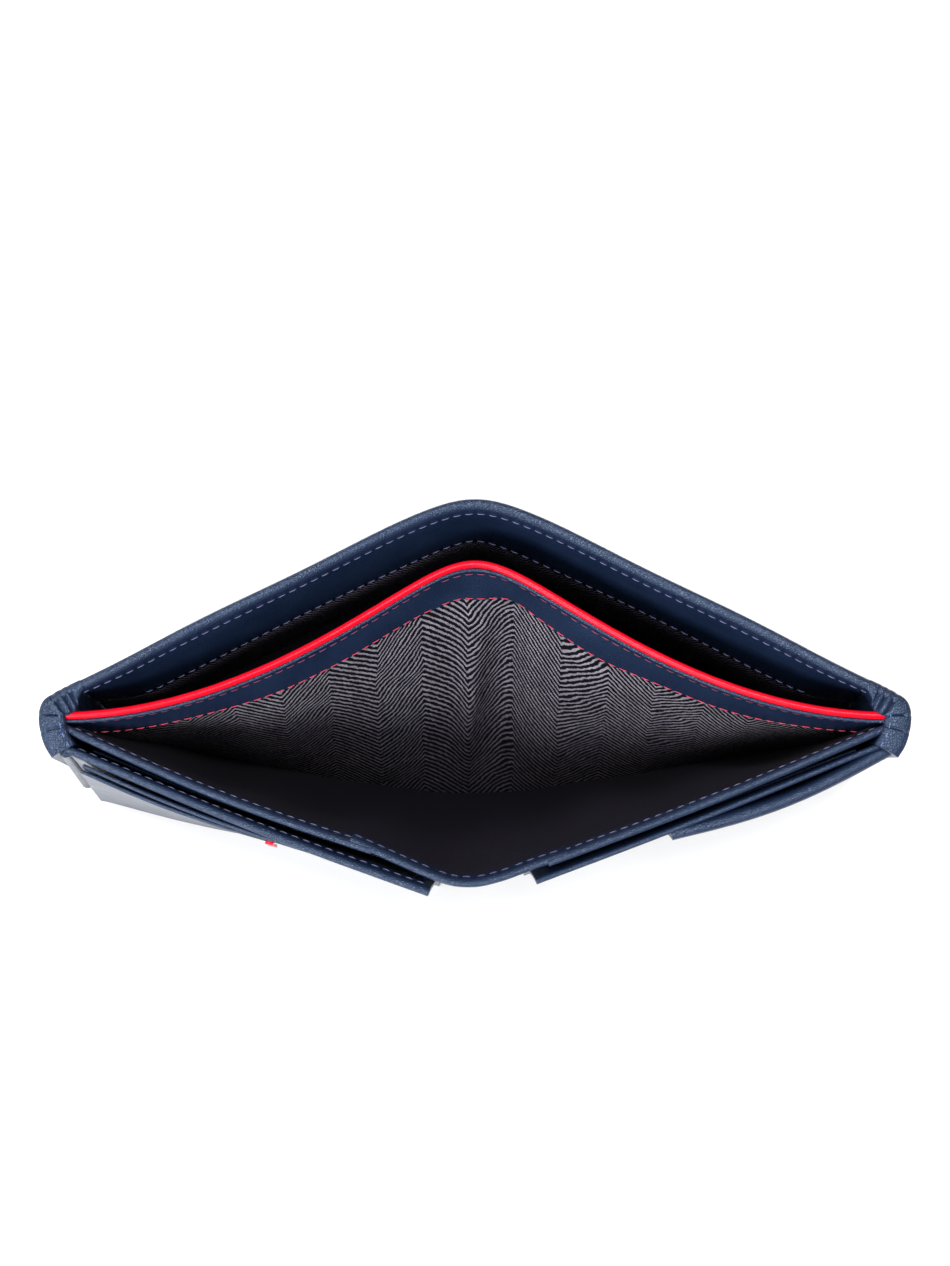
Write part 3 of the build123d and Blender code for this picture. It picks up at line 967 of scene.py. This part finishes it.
def make_right_pockets():
    """The slip pocket and the thick short leaf in front of the right card slots."""
    forward = front_normal(1)
    pieces = (
        ("slip_pocket", 92.5, 4.6, 0.75, 89.6, "right_slip_pocket", 0.6),
        ("short_leaf", 57.5, 7.4, 1.7, 89.0, "right_short_leaf", 2.6),
    )
    for name, length, offset, rim, top, node, bow in pieces:
        path = straight(1, SIDE_HINGE, length, -2.5, bow) + forward * offset
        lean = front_lean(length)
        piece = carried(name, path, -1, wall_profile(2 * rim - 0.2, rim, 6.0, top, 2.0), lean)
        dress(piece, NAVY, "navy_leather", node)
        front_motion(piece, "right")
        row = rim_stitches(f"{name}_stitches", path, -1, -0.02, top - 3.2, lean)
        dress(row, LILAC_THREAD, "navy_leather")
        front_motion(row, "right")


# ---------------------------------------------------------------- flap

def flap_path(length, offset, start=0.6, bow=1.2):
    """A plan line in front of the left panel, along the flap."""
    hinge = np.array([-FLAP_HINGE[0], FLAP_HINGE[1]])
    return straight(-1, hinge, length, start, bow) + front_normal(-1) * offset


def flap_lean(along, height):
    """The flap leans back with the front wall behind it."""
    return front_lean(FRONT_LENGTH["left"])(along, height)


def make_flap():
    """The flap's leather, net window with its frame, two pockets and the red trim."""
    top = 90.2
    path = flap_path(97.0, 2.2)
    section = wall_profile(1.2, 1.1, 7.0, top)
    panel = carried("flap_leather", path, 1, section, flap_lean, splay=FLAP_SPLAY)
    dress(panel, NAVY, "navy_leather", "flap_panel", "flap_rolled_edge", "flap_window_frame")
    mesh_path = flap_path(92.0, 1.0, 5.0)
    window = carried("flap_net", mesh_path, 1, strip_profile(-0.1, 0.3, 6.0, top - 5.5), flap_lean)
    dress(window, NET, "black_mesh", "flap_window_mesh")
    pieces = [panel, window]
    tiers = (
        ("flap_card_pocket_leather", 65.5, 3.4, 88.8, "flap_card_pocket"),
        ("flap_coin_pocket_leather", 55.0, 4.7, 87.4, "flap_coin_pocket"),
    )
    for name, length, offset, level, node in tiers:
        tier_path = flap_path(length, offset, 6.0, 1.5)
        section = wall_profile(0.5, 0.5, 6.0, level, 1.5)
        tier = carried(name, tier_path, 1, section, flap_lean, splay=FLAP_SPLAY)
        pieces.append(dress(tier, NAVY, "navy_leather", node))
        row = rim_stitches(f"{name}_stitches", tier_path, 1, -0.02, level - 2.6, flap_lean)
        pieces.append(dress(row, LILAC_THREAD, "navy_leather"))
    trim_path = flap_path(56.8, 4.3, 54.8)
    trim = carried("pocket_trim", trim_path, 1, wall_profile(0.7, 0.45, 3.0, 88.0, 72.0), flap_lean)
    pieces.append(dress(trim, RED, "red_leather", "coin_pocket_trim"))
    hinge = np.array([path[0] + (0.3, 0.4)] * 41)
    hinge = hinge + np.linspace(0, 1, 41)[:, None] * np.array(FLAP_SPLAY)
    hinge = np.column_stack([hinge, np.linspace(top - 0.6, 1.8, 41)])
    roll = tube("flap_hinge_roll", hinge, 1.7, 16)
    pieces.append(dress(roll, NAVY, "navy_leather"))
    row = rim_stitches("flap_stitches", path, 1, 2.2, top - 3.2, flap_lean)
    pieces.append(dress(row, LILAC_THREAD, "navy_leather"))
    for piece in pieces:
        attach(piece, "flap")
        front_squash(piece)


# ---------------------------------------------------------------- side strips

def make_side_strips():
    """The wrapped leather over each corner, with gathered folds and a sewn inner edge."""
    for label, side in SIDES.items():
        whole = cover_path(side, corner=True, count=561)
        travel = arc_length(whole)
        first = int(np.argmax(travel > STRIP_START))
        path, start = whole[first:], travel[first]
        turn = INWARD[label]

        def grow(along):
            """The strip starts as wide as the rim and widens round the corner."""
            return 0.42 + 0.58 * ease(np.clip(along / 5.0, 0, 1))

        def carry(along, height):
            """It follows the cover's lean and waves."""
            return cover_lean(along + start, height) + hide_ripple(along + start, height)

        def folds(along, height):
            """Three gathered folds in the corner and two pressed creases near the end."""
            near_rim = np.clip((height - HEIGHT + 7.0) / 5.0, 0, 1)
            gather = -0.7 * sum(np.exp(-(((along - at) / 0.45) ** 2)) for at in (3.4, 5.2, 7.6))
            crease = -0.5 * sum(np.exp(-(((along - at) / 0.35) ** 2)) for at in (14.0, 18.2))
            return (gather + crease) * near_rim

        turned = np.linspace(0, pi, 25)
        half = STRIP_WIDTH / 2 + 0.1
        dome = [
            (STRIP_WIDTH / 2 - half * cos(a), HEIGHT - 1.3 + 1.55 * sin(a) ** 0.6) for a in turned
        ]
        outer, inner = [(-0.1, 0.3), (-0.1, 45.0)], [(STRIP_WIDTH, 45.0), (STRIP_WIDTH, 0.3)]
        section = np.array(outer + dome + inner)
        strip = carried(
            f"side_strip_{label}", path, turn, section, carry, None, folds, grow,
            tuck=TUCK[label],
        )
        dress(strip, NAVY, "navy_leather", f"{label}_side_strip")
        line = at_level(path + plan_normals(path, turn) * (STRIP_WIDTH - 1.5), HEIGHT - 0.05)
        sewn = arc_length(path) > 8.0
        row = stitches(f"side_stitches_{label}", line[sewn], (0.0, 0.0, 1.0), pitch=2.6, length=1.8)
        dress(row, BLUE_THREAD, "navy_leather")
        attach(strip, f"{label}_cover")
        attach(row, f"{label}_cover")


# ---------------------------------------------------------------- stage

def make_stage():
    """A pale floor, soft studio lights and the camera above the mouth."""
    mesh = bpy.data.meshes.new("floor")
    reach = 3.0
    corners = [(-reach, -reach, 0), (reach, -reach, 0), (reach, reach, 0), (-reach, reach, 0)]
    mesh.from_pydata(corners, [], [(0, 1, 2, 3)])
    floor = bpy.data.objects.new("floor", mesh)
    bpy.context.scene.collection.objects.link(floor)
    material, _, shader, _ = new_material("pale_floor")
    shader.inputs["Base Color"].default_value = (0.93, 0.93, 0.93, 1)
    shader.inputs["Roughness"].default_value = 0.9
    floor.data.materials.append(material)
    world = bpy.data.worlds.new("studio")
    world.use_nodes = True
    world.node_tree.nodes["Background"].inputs[0].default_value = (1, 1, 1, 1)
    world.node_tree.nodes["Background"].inputs[1].default_value = 0.40
    bpy.context.scene.world = world
    lights = (
        ("top_light", (0.10, 0.15, 1.4), 0.35, 14.0),
        ("mouth_light", (-0.55, -0.75, 1.1), 0.45, 18.0),
        ("front_light", (-0.55, -1.05, 0.30), 0.8, 4.5),
        ("left_light", (-1.0, 0.5, 0.6), 0.4, 6.0),
    )
    target = np.array([0.0, 0.0, 0.05])
    for name, place_m, size, power in lights:
        lamp = bpy.data.lights.new(name, "AREA")
        lamp.size = size
        lamp.energy = power
        light = bpy.data.objects.new(name, lamp)
        light.location = place_m
        aim = target - np.array(place_m)
        light.rotation_euler = (atan2(np.hypot(aim[0], aim[1]), -aim[2]), 0, atan2(-aim[0], aim[1]))
        bpy.context.scene.collection.objects.link(light)
    camera_data = bpy.data.cameras.new("camera")
    camera = bpy.data.objects.new("camera", camera_data)
    distance, elevation = 0.8, radians(84.0)
    aim_point = (0.0, 0.0155, HEIGHT * MM)
    camera.location = (
        aim_point[0], aim_point[1] - distance * cos(elevation), aim_point[2] + distance * sin(elevation)
    )
    camera.rotation_euler = (pi / 2 - elevation, 0, 0)
    camera_data.sensor_fit = "HORIZONTAL"
    camera_data.sensor_width = 36.0
    camera_data.lens = 122.8
    bpy.context.scene.collection.objects.link(camera)
    bpy.context.scene.camera = camera
    bpy.context.scene.view_settings.view_transform = "Standard"


make_stage()
make_cover()
make_divider()
make_front_walls()
make_front_bag()
make_centre_strip()
make_right_pockets()
make_flap()
make_side_strips()
